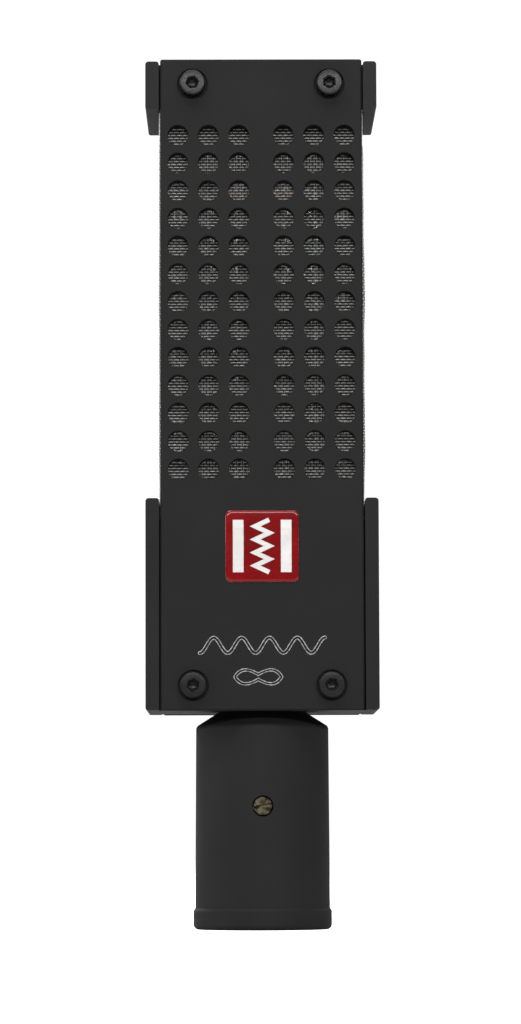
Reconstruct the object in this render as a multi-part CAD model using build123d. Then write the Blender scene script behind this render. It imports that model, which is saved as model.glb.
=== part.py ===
"""Ribbon microphone: an assembly of separate pieces, in millimetres.

The origin is on the barrel's axis at the collar's lower rim. +Z runs up the microphone, the front
faces -Y and X is the width. Every function makes one named piece, and write_parts() exports them all.
"""
from build123d import *
import math
import os

# ---------------------------------------------------------------- overall
BODY_WIDTH = 49.7          # over the lower housing's side walls, and over the top cap's ears
DEPTH = 32.0               # over the front and rear plates
PLATE_T = 4.0              # plate thickness
PLATE_WIDTH = 43.3
PLATE_BOTTOM, PLATE_TOP = 46.5, 186.45
HALF = DEPTH / 2           # plate's outer face
CORE = HALF - PLATE_T      # plate's inner face
SEAM = 0.3                 # gap beside the plates
FACE_STEP = 0.1            # ears and side walls stop this far short of the plates' outer faces
PLATE_CORNER, EDGE_BREAK = 0.5, 0.3

# ---------------------------------------------------------------- perforations
ROWS, COLUMNS = 13, 6
ROW_PITCH, COLUMN_PITCH = 6.0, 6.52
CENTRE_GAP = 9.6           # between the two middle columns
HOLE_R = 2.25
LOWEST_ROW_Z = 97.95

# ---------------------------------------------------------------- screws
SCREW_X = 14.7
SCREW_LOW_Z, SCREW_HIGH_Z = 51.85, 181.1
M3_R, M3_CLEAR_R, M3_TAPPED_R = 1.45, 1.7, 1.5
M3_HEAD_R, M3_HEAD_H, M3_KEY = 2.75, 3.0, 2.5
COUNTERBORE_R, COUNTERBORE_DEPTH = 3.3, 0.8
CAP_SCREW_LENGTH = 8.0
M2_R, M2_TAPPED_R, M2_HEAD_R, M2_HEAD_H = 0.95, 1.0, 1.9, 1.3
SLOT_W = 0.5
THROUGH = 99.0             # longer than anything that a through bore passes

# ---------------------------------------------------------------- top cap
CAP_TOP = 186.0
CAP_WEB_BOTTOM = 173.5     # the web clears the highest row of perforations
EAR_BOTTOM = 175.75        # the ears hang a little below the rebate's end, beside the mesh
CAP_REBATE_TOP = 177.2     # the mesh sleeve ends here, around the web

# ---------------------------------------------------------------- lower housing
HOUSING_BOTTOM, HOUSING_TOP = 46.6, 91.75
FLOOR_TOP = 56.6
WALL_IN = 21.2             # inner face of the side walls
LEDGE_Z = 87.5             # the mesh sleeve and the deck plate start here
OUTER_ROUND, INNER_ROUND = 0.7, 0.6      # upper edges of the ears and the side walls
LOWER_ROUND = 0.5

# ---------------------------------------------------------------- mesh sleeve and inner screen
MESH_X, MESH_Y, MESH_T, MESH_CORNER = 22.1, CORE - 0.1, 0.5, 2.0
MESH_BOTTOM, MESH_TOP = LEDGE_Z + 0.1, CAP_REBATE_TOP - 0.1
MESH_SEAT = 0.15           # room around the sleeve in its rebates
SCREEN_X, SCREEN_Y, SCREEN_T = 20.5, 10.4, 0.3

# ---------------------------------------------------------------- neck barrel
COLLAR_R, COLLAR_H, COLLAR_ROUND = 14.9, 4.0, 1.1
BARREL_LOW_R, BARREL_HIGH_R = 14.5, 14.28
BARREL_LOW_Z, BARREL_HIGH_Z = 4.6, 43.5
CONE_TOP_R, SHOULDER_ROUND = 9.4, 1.2
SPIGOT_R, SPIGOT_TOP = 8.5, 61.2
SPIGOT_HOLE_R = 8.6
MOUTH_R, MOUTH_DEPTH, MOUTH_CHAMFER = 10.5, 4.5, 0.4
KEYWAY_W, KEYWAY_OUT, KEYWAY_TOP = 3.2, 9.3, 12.0
SOCKET_R = 8.15
INSERT_FACE_Z, INSERT_BACK_Z = 20.5, 36.0
WIRE_BORE_R = 6.6

# ---------------------------------------------------------------- connector
INSERT_R = 8.1
PIN_R, PIN_CIRCLE_R = 1.2, 4.85
PIN_TIP_Z, PIN_TAIL_Z = 6.6, 40.5
PIN_ANGLES = (210, 330, 90)          # two towards the front, one behind
LOCK_Z = 26.3
LOCK_HEAD_R, LOCK_HOLE_R = 2.15, 2.25
LOCK_FACE_Y, LOCK_SHOULDER_Y, LOCK_TIP_Y = -13.75, -8.2, -5.3
LOCK_SLOT_W, LOCK_SLOT_DEPTH, LOCK_SLOT_TILT = 0.7, 0.9, 12

# ---------------------------------------------------------------- deck and transformer bay
DECK_T = 2.0
DECK_Z = LEDGE_Z + 0.1
DECK_TOP = DECK_Z + DECK_T
DECK_X, DECK_Y = 21.3, CORE - 0.8
PILLAR_X, PILLAR_Y, PILLAR_R = 17.4, 6.3, 2.4
PILLAR_STUD = 2.5
NUT_R, NUT_T, WASHER_T = 10.6, 3.2, 0.6
CAN_X, CAN_Y, CAN_H, CAN_WALL = 12.0, 7.2, 19.0, 1.0
CAN_TOP = DECK_Z - 0.5
STRAP_T, STRAP_W, STRAP_FOOT = 0.8, 6.0, 4.2
BOARD_Z, BOARD_T, BOARD_X, BOARD_Y = 63.2, 1.2, 17.0, 9.0
BOARD_HOLE_R = 4.0
SPACER_X, SPACER_R = 14.2, 2.0

# ---------------------------------------------------------------- ribbon motor
MOTOR_LOW, MOTOR_HIGH = 99.0, 168.0
END_PLATE_T = 3.0
RAIL_IN, RAIL_OUT, MOTOR_Y = 11.5, 14.0, 6.0
RAIL_SCREW_Y, RAIL_SCREW_HEAD_R = 3.5, 1.6
MAGNET_IN, MAGNET_OUT, MAGNET_Y = 4.9, 11.4, 5.0
POLE_IN, POLE_OUT, POLE_Y, POLE_TIP_Y = 2.6, 4.85, 4.0, 1.4
FIELD_LOW, FIELD_HIGH = 108.5, 158.5
RIBBON_W, RIBBON_T = 4.6, 0.12
RIBBON_LOW, RIBBON_HIGH = FIELD_LOW - 0.1, FIELD_HIGH + 0.1
FOLDS, FOLD_HEIGHT = 30, 0.35
CLAMP_X, CLAMP_H, BLOCK_T, BAR_T = 7.4, 5.6, 4.0, 1.5
CLAMP_SCREW_X = 5.0
TAB_GAP = 0.2
MOUNT_X, MOUNT_R, MOUNT_WAIST_R = 9.5, 3.0, 2.2
BUFFER_X, BUFFER_R = 9.5, 2.5

# ---------------------------------------------------------------- leads
LEAD_R, LEAD_GAP = 0.45, 0.15
CLAMP_LEAD_X = 6.4
LEAD_X, LEAD_Y, LEAD_HOLE_R = 4.0, 8.2, 0.9
TERMINAL_X, TERMINAL_Y, TERMINAL_R, TERMINAL_H = 6.0, 5.0, 0.5, 2.4
CORE_LOW = CAN_TOP - CAN_H + 0.8
TERMINAL_LOW = CORE_LOW - TERMINAL_H
LEAD_LOW_Z = TERMINAL_LOW + 0.7
LEAD_ARCH_Z = BOARD_Z + BOARD_T + 2.0

# ---------------------------------------------------------------- badge
BADGE_W, BADGE_H, BADGE_Z, BADGE_CORNER = 15.6, 15.3, 81.4, 1.2
BADGE_RECESS, BADGE_PROUD, BADGE_RIM = 0.5, 0.5, 0.45


# ================================================================ helpers
def block(x0, x1, y0, y1, z0, z1):
    """A box from its lowest to its highest corner."""
    box = Box(x1 - x0, y1 - y0, z1 - z0)
    return Pos((x0 + x1) / 2, (y0 + y1) / 2, (z0 + z1) / 2) * box


def rod(x, y, z0, z1, radius):
    """A cylinder standing along Z."""
    return Pos(x, y, (z0 + z1) / 2) * Cylinder(radius, z1 - z0)


def rod_y(x, z, y0, y1, radius):
    """A cylinder lying along Y."""
    return Pos(x, (y0 + y1) / 2, z) * Rot(90, 0, 0) * Cylinder(radius, y1 - y0)


def rounded_block(half_x, half_y, z0, z1, radius):
    """A box centred on the axis with rounded upright corners."""
    outline = RectangleRounded(2 * half_x, 2 * half_y, radius)
    return extrude(Pos(0, 0, z0) * outline, z1 - z0)


def sleeve(half_x, half_y, wall, z0, z1, radius):
    """A rectangular tube with rounded upright corners."""
    outer = rounded_block(half_x, half_y, z0, z1, radius)
    inner = rounded_block(half_x - wall, half_y - wall, z0 - 1, z1 + 1, radius - wall)
    return outer - inner


def rear_of(shape):
    """The same shape turned half round the Z axis, to the rear."""
    return Rot(0, 0, 180) * shape


def cap_screw_places():
    return [(x, z) for z in (SCREW_LOW_Z, SCREW_HIGH_Z) for x in (-SCREW_X, SCREW_X)]


def hole_places():
    """The centre of every perforation, as x and z."""
    step = [CENTRE_GAP / 2 + COLUMN_PITCH * i for i in range(COLUMNS // 2)]
    columns = [side * x for side in (-1, 1) for x in step]
    return [(x, LOWEST_ROW_Z + ROW_PITCH * row) for row in range(ROWS) for x in columns]


def wire(points, radii, radius):
    """A round wire along straight runs joined by tangent arcs."""
    path = FilletPolyline(*points, radius=radii)
    start = path @ 0
    return sweep(Plane(origin=start, z_dir=path % 0) * Circle(radius), path=path)


def socket_screw(length):
    """A socket head cap screw along Z: head above z = 0, shank below it."""
    head = Cylinder(M3_HEAD_R, M3_HEAD_H, align=(Align.CENTER, Align.CENTER, Align.MIN))
    head = fillet(head.edges().group_by(Axis.Z)[-1], 0.35)
    key = extrude(Pos(0, 0, M3_HEAD_H) * RegularPolygon(M3_KEY / 2, 6, major_radius=False), -1.5)
    shank = Cylinder(M3_R, length, align=(Align.CENTER, Align.CENTER, Align.MAX))
    return head - key + shank


def slotted_screw(length, shank_r=M2_R, head_r=M2_HEAD_R, head_h=M2_HEAD_H):
    """A small cheese-head screw along Z: head above z = 0, shank below it."""
    head = Cylinder(head_r, head_h, align=(Align.CENTER, Align.CENTER, Align.MIN))
    head = fillet(head.edges().group_by(Axis.Z)[-1], 0.2)
    slot = Pos(0, 0, head_h) * Box(3 * head_r, SLOT_W, head_h)
    shank = Cylinder(shank_r, length, align=(Align.CENTER, Align.CENTER, Align.MAX))
    return head - slot + shank


# ================================================================ casings
def perforated_plate():
    """The plate that is the same at the front and the rear, made at the front."""
    plate = block(-PLATE_WIDTH / 2, PLATE_WIDTH / 2, -HALF, -CORE, PLATE_BOTTOM, PLATE_TOP)
    plate = fillet(plate.edges().filter_by(Axis.Y), PLATE_CORNER)
    plate = chamfer(plate.faces().sort_by(Axis.Y)[0].edges(), EDGE_BREAK)
    cuts = [rod_y(x, z, -HALF - 1, -CORE + 1, HOLE_R) for x, z in hole_places()]
    for x, z in cap_screw_places():
        cuts.append(rod_y(x, z, -HALF - 1, -CORE + 1, M3_CLEAR_R))
        cuts.append(rod_y(x, z, -HALF - 1, -HALF + COUNTERBORE_DEPTH, COUNTERBORE_R))
    return plate - cuts


def badge_outline(inset):
    """The badge's rounded square at the given inset, standing on the front face."""
    outline = RectangleRounded(BADGE_W - 2 * inset, BADGE_H - 2 * inset, BADGE_CORNER - inset)
    return Pos(0, 0, BADGE_Z) * Rot(90, 0, 0) * outline


def front_plate():
    """Front plate, with the badge's shallow recess."""
    recess = Pos(0, -HALF + BADGE_RECESS, 0) * extrude(badge_outline(-0.05), 2)
    return perforated_plate() - recess


def rear_plate():
    return rear_of(perforated_plate())


def plate_recesses(z0, z1):
    """The room that both plates and their seams take out of a casing block."""
    half = PLATE_WIDTH / 2 + SEAM
    front = block(-half, half, -HALF - 1, -CORE, z0 - 1, z1 + 1)
    return [front, rear_of(front)]


def cap_screw_holes(z):
    """Blind tapped holes for the cap screws at one height, front and rear."""
    holes = [rod_y(x, z, -CORE - 1, -CORE + CAP_SCREW_LENGTH - 2, M3_TAPPED_R)
             for x in (-SCREW_X, SCREW_X)]
    return holes + [rear_of(hole) for hole in holes]


def mesh_rebate(z0, z1):
    """The rebate that the mesh sleeve's upper end fits in, round the cap's web."""
    half, inset = MESH_X + MESH_SEAT, MESH_T + MESH_SEAT
    plug = rounded_block(MESH_X - inset, MESH_Y - inset, z0, z1, MESH_CORNER - MESH_T)
    return block(-half, half, -CORE, CORE, z0, z1) - plug


def level_edges(body, x, z):
    """The edges along Y on both sides of a body at one distance from its middle and one height."""
    return [edge for edge in body.edges().filter_by(Axis.Y)
            if abs(abs(edge.center().X) - x) < 0.01 and abs(edge.center().Z - z) < 0.01]


def inner_rounds(z):
    """Cutters that round the inner upper edges of the ears or side walls, beside the plates."""
    x, r = PLATE_WIDTH / 2 + SEAM, INNER_ROUND
    right = block(x - 1, x + r, -HALF, -CORE, z - r, z + 1) - rod_y(x + r, z - r, -HALF - 1, -CORE + 1, r)
    left = block(-x - r, -x + 1, -HALF, -CORE, z - r, z + 1) - rod_y(-x - r, z - r, -HALF - 1, -CORE + 1, r)
    return [right, left, rear_of(right), rear_of(left)]


def top_cap():
    """Top cap: a web between the plates, and two ears that cover the mesh sleeve's upper end."""
    half, reach = BODY_WIDTH / 2, HALF - FACE_STEP
    cap = block(-half, half, -reach, reach, EAR_BOTTOM, CAP_TOP)
    cap = fillet(level_edges(cap, half, CAP_TOP), OUTER_ROUND)
    cap = fillet(level_edges(cap, half, EAR_BOTTOM), LOWER_ROUND)
    web = PLATE_WIDTH / 2 + SEAM
    cap = cap + block(-web, web, -CORE, CORE, CAP_WEB_BOTTOM, EAR_BOTTOM)
    cap = cap - plate_recesses(EAR_BOTTOM, CAP_TOP) - inner_rounds(CAP_TOP)
    return cap - mesh_rebate(CAP_WEB_BOTTOM - 1, CAP_REBATE_TOP) - cap_screw_holes(SCREW_HIGH_Z)


def lower_housing():
    """Lower housing: a thick floor and two side walls, with the plates closing its front and rear."""
    half, reach = BODY_WIDTH / 2, HALF - FACE_STEP
    body = block(-half, half, -reach, reach, HOUSING_BOTTOM, HOUSING_TOP)
    body = fillet(level_edges(body, half, HOUSING_TOP), OUTER_ROUND)
    body = fillet(level_edges(body, half, HOUSING_BOTTOM), LOWER_ROUND)
    body = body - plate_recesses(HOUSING_BOTTOM, HOUSING_TOP)
    bay = block(-WALL_IN, WALL_IN, -HALF, HALF, FLOOR_TOP, HOUSING_TOP + 1)
    rebate = block(-MESH_X - MESH_SEAT, MESH_X + MESH_SEAT, -CORE, CORE, LEDGE_Z, HOUSING_TOP + 1)
    body = body - bay - rebate - inner_rounds(HOUSING_TOP)
    neck_hole = rod(0, 0, HOUSING_BOTTOM - 1, FLOOR_TOP + 1, SPIGOT_HOLE_R)
    tapped = [rod(x, y, FLOOR_TOP - PILLAR_STUD, FLOOR_TOP + 1, M3_TAPPED_R) for x, y in pillar_places()]
    tapped += [rod(x, 0, FLOOR_TOP - 3, FLOOR_TOP + 1, M2_TAPPED_R) for x in (-SPACER_X, SPACER_X)]
    return body - neck_hole - tapped - cap_screw_holes(SCREW_LOW_Z)


def cap_screws():
    """Four cap screws that hold the front plate."""
    face = -HALF + COUNTERBORE_DEPTH
    return [Pos(x, face, z) * Rot(90, 0, 0) * socket_screw(CAP_SCREW_LENGTH)
            for x, z in cap_screw_places()]


def rear_cap_screws():
    return [rear_of(screw) for screw in cap_screws()]


def badge_base():
    """Badge tray with a thin raised rim, seated in the front plate's recess."""
    tray = Pos(0, -HALF + BADGE_RECESS, 0) * extrude(badge_outline(0), BADGE_RECESS + BADGE_PROUD)
    well = Pos(0, -HALF + 0.1, 0) * extrude(badge_outline(BADGE_RIM), BADGE_PROUD + 1)
    return tray - well


def badge_enamel():
    """Enamel fill, slightly domed."""
    inset = BADGE_RIM + 0.02
    fill = Pos(0, -HALF + 0.08, 0) * extrude(badge_outline(inset), BADGE_PROUD + 0.08)
    crown = fill.faces().sort_by(Axis.Y)[0].edges()
    return chamfer(crown, 0.12, 0.5)


# ================================================================ mesh
def mesh_sleeve():
    """Woven mesh sleeve, as a thin-walled tube of the same outer size."""
    return sleeve(MESH_X, MESH_Y, MESH_T, MESH_BOTTOM, MESH_TOP, MESH_CORNER)


def inner_screen():
    """Fine inner screen between the deck plate and the top cap."""
    return sleeve(SCREEN_X, SCREEN_Y, SCREEN_T, DECK_TOP + 0.1, CAP_WEB_BOTTOM - 0.1, MESH_CORNER)


# ================================================================ neck and connector
def neck_barrel():
    """Cone, barrel and collar, turned in one piece, with the connector's socket bored in it."""
    outline = Polyline(
        (0, 0), (COLLAR_R, 0), (COLLAR_R, COLLAR_H), (BARREL_LOW_R, BARREL_LOW_Z),
        (BARREL_HIGH_R, BARREL_HIGH_Z), (CONE_TOP_R, HOUSING_BOTTOM), (SPIGOT_R, HOUSING_BOTTOM),
        (SPIGOT_R, SPIGOT_TOP), (0, SPIGOT_TOP), close=True)
    barrel = revolve(Plane.XZ * make_face(outline), Axis.Z)
    rim = barrel.edges().filter_by(GeomType.CIRCLE).sort_by(lambda edge: edge.center().Z)[0]
    barrel = fillet(rim, COLLAR_ROUND)
    shoulder = [edge for edge in barrel.edges().filter_by(GeomType.CIRCLE)
                if abs(edge.center().Z - BARREL_HIGH_Z) < 0.05]
    barrel = fillet(shoulder, SHOULDER_ROUND)
    bores = [rod(0, 0, -1, MOUTH_DEPTH, MOUTH_R), rod(0, 0, 0, INSERT_BACK_Z, SOCKET_R),
             rod(0, 0, 0, SPIGOT_TOP + 1, WIRE_BORE_R), rod_y(0, LOCK_Z, -COLLAR_R, 0, LOCK_HOLE_R),
             block(-KEYWAY_W / 2, KEYWAY_W / 2, -KEYWAY_OUT, 0, 0, KEYWAY_TOP)]
    barrel -= bores
    mouth = [edge for edge in barrel.edges().filter_by(GeomType.CIRCLE)
             if edge.center().Z < 0.01 and abs(edge.radius - MOUTH_R) < 0.01]
    return chamfer(mouth, MOUTH_CHAMFER)


def contact_places():
    return [(PIN_CIRCLE_R * math.cos(math.radians(a)), PIN_CIRCLE_R * math.sin(math.radians(a)))
            for a in PIN_ANGLES]


def connector_insert():
    """Insulating disc that carries the contact pins, with a flat and a tapped hole for the lock screw."""
    body = rod(0, 0, INSERT_FACE_Z, INSERT_BACK_Z, INSERT_R)
    body = chamfer(body.edges().group_by(Axis.Z)[0], 0.4)
    body -= [rod(x, y, INSERT_FACE_Z - 1, INSERT_BACK_Z + 1, PIN_R + 0.02) for x, y in contact_places()]
    return body - rod_y(0, LOCK_Z, -COLLAR_R, LOCK_TIP_Y + 0.3, M3_TAPPED_R)


def contact_pins():
    """Three round contact pins with domed tips and solder cups behind the insert."""
    pins = []
    for x, y in contact_places():
        pin = rod(x, y, PIN_TIP_Z, PIN_TAIL_Z, PIN_R)
        pin = fillet(pin.edges().group_by(Axis.Z)[0], PIN_R * 0.8)
        pins.append(pin - rod(x, y, PIN_TAIL_Z - 2.5, PIN_TAIL_Z + 1, PIN_R * 0.65))
    return pins


def lock_screw():
    """Slotted screw that locks the insert in the barrel, seen through the barrel's front hole."""
    head = rod_y(0, LOCK_Z, LOCK_FACE_Y, LOCK_SHOULDER_Y, LOCK_HEAD_R)
    head = chamfer(head.edges().group_by(Axis.Y)[0], 0.25)
    slot = Pos(0, LOCK_FACE_Y, LOCK_Z) * Rot(0, -LOCK_SLOT_TILT, 0)
    head -= slot * Box(4 * LOCK_HEAD_R, 2 * LOCK_SLOT_DEPTH, LOCK_SLOT_W)
    return head + rod_y(0, LOCK_Z, LOCK_SHOULDER_Y, LOCK_TIP_Y, M3_R)


def neck_washer():
    return rod(0, 0, FLOOR_TOP, FLOOR_TOP + WASHER_T, NUT_R) - rod(0, 0, 0, THROUGH, SPIGOT_HOLE_R)


def neck_nut():
    """Ring nut that pulls the neck barrel up against the housing's floor, with four spanner slots."""
    low = FLOOR_TOP + WASHER_T
    nut = rod(0, 0, low, low + NUT_T, NUT_R) - rod(0, 0, 0, THROUGH, SPIGOT_R + 0.05)
    nut = chamfer(nut.edges().group_by(Axis.Z)[-1].sort_by(SortBy.RADIUS)[-1], 0.4)
    for angle in (45, 135):
        nut -= Rot(0, 0, angle) * block(-NUT_R - 1, NUT_R + 1, -1, 1, low + NUT_T - 1.2, low + NUT_T + 1)
    return nut


# ================================================================ deck and transformer bay
def pillar_places():
    return [(x, y) for y in (-PILLAR_Y, PILLAR_Y) for x in (-PILLAR_X, PILLAR_X)]


def deck_plate():
    """Deck over the transformer bay. It carries the motor and fills the mesh sleeve's lower end."""
    deck = rounded_block(DECK_X, DECK_Y, DECK_Z, DECK_TOP, MESH_CORNER)
    cuts = [rod(x, y, DECK_Z - 1, DECK_TOP + 1, M3_CLEAR_R) for x, y in pillar_places()]
    cuts += [rod(x, 0, DECK_Z - 1, DECK_TOP + 1, M2_TAPPED_R) for x in (-MOUNT_X, MOUNT_X, *strap_screw_x())]
    cuts += [rod(x, LEAD_Y, DECK_Z - 1, DECK_TOP + 1, LEAD_HOLE_R) for x in (-LEAD_X, LEAD_X)]
    return deck - cuts


def deck_pillars():
    """Four pillars between the floor and the deck, with a stud below each."""
    pillars = []
    for x, y in pillar_places():
        pillar = rod(x, y, FLOOR_TOP, DECK_Z, PILLAR_R) - rod(x, y, DECK_Z - 6, DECK_Z + 1, M3_TAPPED_R)
        pillars.append(pillar + rod(x, y, FLOOR_TOP - PILLAR_STUD + 0.1, FLOOR_TOP, M3_R))
    return pillars


def deck_screws():
    return [Pos(x, y, DECK_TOP) * slotted_screw(6.0, M3_R, 2.7, 1.8) for x, y in pillar_places()]


def transformer_can():
    """Shielding can, open below, hung under the deck."""
    can = rounded_block(CAN_X, CAN_Y, CAN_TOP - CAN_H, CAN_TOP, 2.5)
    can = fillet(can.faces().sort_by(Axis.Z)[-1].edges(), 0.8)
    return can - rounded_block(CAN_X - CAN_WALL, CAN_Y - CAN_WALL, 0, CAN_TOP - CAN_WALL, 2.5 - CAN_WALL)


def transformer_core():
    """Core and coil, potted, with four terminal pins below."""
    gap = 0.1
    inset = CAN_WALL + gap
    core = rounded_block(CAN_X - inset, CAN_Y - inset, CORE_LOW, CAN_TOP - inset, 1.3)
    for x in (-TERMINAL_X, TERMINAL_X):
        for y in (-TERMINAL_Y, TERMINAL_Y):
            core += rod(x, y, TERMINAL_LOW, CORE_LOW + 0.5, TERMINAL_R)
    return core


def strap_screw_x():
    """Where the strap's two screws go up into the deck."""
    x = CAN_X + STRAP_T + STRAP_FOOT - 2.0
    return (-x, x)


def transformer_strap():
    """Sprung strap round the can, with a foot each side against the deck."""
    gap, low = 0.1, CAN_TOP - CAN_H - 0.1
    inner, outer = CAN_X + gap, CAN_X + gap + STRAP_T
    foot = outer + STRAP_FOOT
    strap = block(-outer, outer, -STRAP_W / 2, STRAP_W / 2, low - STRAP_T, DECK_Z)
    strap -= block(-inner, inner, -STRAP_W, STRAP_W, low, DECK_Z + 1)
    for side in (-1, 1):
        a, b = sorted((side * (outer - 0.01), side * foot))
        strap += block(a, b, -STRAP_W / 2, STRAP_W / 2, DECK_Z - STRAP_T, DECK_Z)
    return strap - [rod(x, 0, DECK_Z - 2, DECK_Z + 1, M2_TAPPED_R + 0.1) for x in strap_screw_x()]


def strap_screws():
    return [Pos(x, 0, DECK_Z - STRAP_T) * Rot(180, 0, 0) * slotted_screw(2.6) for x in strap_screw_x()]


def board_outline(z0, z1):
    return rounded_block(BOARD_X, BOARD_Y, z0, z1, 1.0)


def terminal_board():
    """Terminal board over the ring nut, with a hole for the output leads and notches for the pillars."""
    board = board_outline(BOARD_Z, BOARD_Z + BOARD_T)
    cuts = [rod(x, y, BOARD_Z - 1, BOARD_Z + 3, PILLAR_R + 0.4) for x, y in pillar_places()]
    cuts += [rod(x, 0, BOARD_Z - 1, BOARD_Z + 3, M2_TAPPED_R + 0.1) for x in (-SPACER_X, SPACER_X)]
    cuts.append(rod(0, 0, BOARD_Z - 1, BOARD_Z + 3, BOARD_HOLE_R))
    return board - cuts


def board_spacers():
    return [rod(x, 0, FLOOR_TOP, BOARD_Z, SPACER_R) - rod(x, 0, 0, THROUGH, M2_TAPPED_R + 0.1)
            for x in (-SPACER_X, SPACER_X)]


def board_screws():
    length = BOARD_Z + BOARD_T - FLOOR_TOP + 2.5
    return [Pos(x, 0, BOARD_Z + BOARD_T) * slotted_screw(length) for x in (-SPACER_X, SPACER_X)]


# ================================================================ ribbon motor
def mirrored(shape):
    """The same shape on the other side of the middle plane."""
    return mirror(shape, Plane.YZ)


def right_rail():
    """Side rail of the motor, between the end plates."""
    rail = block(RAIL_IN, RAIL_OUT, -MOTOR_Y, MOTOR_Y, MOTOR_LOW + END_PLATE_T, MOTOR_HIGH - END_PLATE_T)
    rail = chamfer(rail.edges().filter_by(Axis.Z), 0.4)
    middle = (RAIL_IN + RAIL_OUT) / 2
    low, high = MOTOR_LOW + END_PLATE_T, MOTOR_HIGH - END_PLATE_T
    screw_y = (-RAIL_SCREW_Y, RAIL_SCREW_Y)
    ends = [rod(middle, y, z, z + 4, M2_TAPPED_R) for y in screw_y for z in (low - 1, high - 3)]
    return rail - ends


def rail_screw_places():
    middle = (RAIL_IN + RAIL_OUT) / 2
    return [(x, y) for x in (-middle, middle) for y in (-RAIL_SCREW_Y, RAIL_SCREW_Y)]


def rail_screws():
    """Eight screws through the end plates into the rails."""
    screw = slotted_screw(END_PLATE_T + 2.5, head_r=RAIL_SCREW_HEAD_R)
    upper = [Pos(x, y, MOTOR_HIGH) * screw for x, y in rail_screw_places()]
    lower = [Pos(x, y, MOTOR_LOW) * Rot(180, 0, 0) * screw for x, y in rail_screw_places()]
    return upper + lower


def end_plate(z0):
    """An end plate of the motor, with holes for the rails' screws and the rubber mounts' screws."""
    plate = block(-RAIL_OUT - 0.5, RAIL_OUT + 0.5, -MOTOR_Y - 0.3, MOTOR_Y + 0.3, z0, z0 + END_PLATE_T)
    plate = fillet(plate.edges().filter_by(Axis.Z), 1.0)
    holes = [rod(x, y, z0 - 1, z0 + END_PLATE_T + 1, M2_TAPPED_R) for x, y in rail_screw_places()]
    holes += [rod(x, 0, z0 - 1, z0 + END_PLATE_T + 1, M2_TAPPED_R) for x in (-MOUNT_X, MOUNT_X)]
    return plate - holes


def lower_end_plate():
    return end_plate(MOTOR_LOW)


def upper_end_plate():
    return end_plate(MOTOR_HIGH - END_PLATE_T)


def right_magnet():
    magnet = block(MAGNET_IN, MAGNET_OUT, -MAGNET_Y, MAGNET_Y, FIELD_LOW, FIELD_HIGH)
    return chamfer(magnet.edges().filter_by(Axis.Z), 0.3)


def right_pole():
    """Pole piece that narrows towards the ribbon."""
    outline = Polyline((POLE_OUT, -POLE_Y), (POLE_IN, -POLE_TIP_Y), (POLE_IN, POLE_TIP_Y),
                       (POLE_OUT, POLE_Y), close=True)
    return extrude(Pos(0, 0, FIELD_LOW) * make_face(outline), FIELD_HIGH - FIELD_LOW)


def ribbon():
    """Moving span of the corrugated ribbon, across the gap between the pole pieces."""
    steps = 2 * FOLDS
    rise = (RIBBON_HIGH - RIBBON_LOW) / steps
    centre = [(FOLD_HEIGHT * (1 if i % 2 else -1) * (0 < i < steps), RIBBON_LOW + rise * i)
              for i in range(steps + 1)]
    front = [(y - RIBBON_T / 2, z) for y, z in centre]
    rear = [(y + RIBBON_T / 2, z) for y, z in reversed(centre)]
    section = make_face(Polyline(*front, *rear, close=True))
    return extrude(Plane.YZ * section, RIBBON_W / 2, both=True)


def clamp_places():
    """Low and high end of each clamp."""
    low = RIBBON_LOW - TAB_GAP - CLAMP_H
    high = RIBBON_HIGH + TAB_GAP
    return [(low, low + CLAMP_H), (high, high + CLAMP_H)]


def ribbon_ends():
    """The ribbon's two ends, held still in their clamps."""
    return [block(-RIBBON_W / 2, RIBBON_W / 2, -RIBBON_T / 2, RIBBON_T / 2, z0, z1)
            for z0, z1 in clamp_places()]


def clamp_block(z0, z1, foot):
    """Insulating block behind the ribbon's end, with a foot that reaches the end plate."""
    low, high = min(z0, foot), max(z1, foot)
    base = block(-CLAMP_X, CLAMP_X, RIBBON_T / 2, BLOCK_T, low, high)
    middle = (z0 + z1) / 2
    return base - [rod_y(x, middle, -1, BLOCK_T - 1, M2_TAPPED_R) for x in (-CLAMP_SCREW_X, CLAMP_SCREW_X)]


def lower_clamp_block():
    z0, z1 = clamp_places()[0]
    return clamp_block(z0, z1, MOTOR_LOW + END_PLATE_T)


def upper_clamp_block():
    z0, z1 = clamp_places()[1]
    return clamp_block(z0, z1, MOTOR_HIGH - END_PLATE_T)


def clamp_bars():
    """Two brass bars that press the ribbon's ends on their blocks."""
    bars = []
    for z0, z1 in clamp_places():
        bar = block(-CLAMP_X, CLAMP_X, -RIBBON_T / 2 - BAR_T, -RIBBON_T / 2, z0, z1)
        bar = chamfer(bar.faces().sort_by(Axis.Y)[0].edges(), 0.25)
        middle, clear_r = (z0 + z1) / 2, M2_TAPPED_R + 0.1
        bars.append(bar - [rod_y(x, middle, -THROUGH, THROUGH, clear_r)
                           for x in (-CLAMP_SCREW_X, CLAMP_SCREW_X)])
    return bars


def clamp_screws():
    return [Pos(x, -RIBBON_T / 2 - BAR_T, (z0 + z1) / 2) * Rot(90, 0, 0) * slotted_screw(3.8)
            for z0, z1 in clamp_places() for x in (-CLAMP_SCREW_X, CLAMP_SCREW_X)]


def isolation_mounts():
    """Two waisted rubber mounts between the deck and the motor."""
    mounts = []
    for x in (-MOUNT_X, MOUNT_X):
        middle = (DECK_TOP + MOTOR_LOW) / 2
        low, high = middle - 2, middle + 2
        waist = rod(x, 0, low, high, MOUNT_R + 1) - rod(x, 0, low, high, MOUNT_WAIST_R)
        bore = rod(x, 0, DECK_TOP - 1, MOTOR_LOW + 1, M2_TAPPED_R)
        mounts.append(rod(x, 0, DECK_TOP, MOTOR_LOW, MOUNT_R) - waist - bore)
    return mounts


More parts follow.
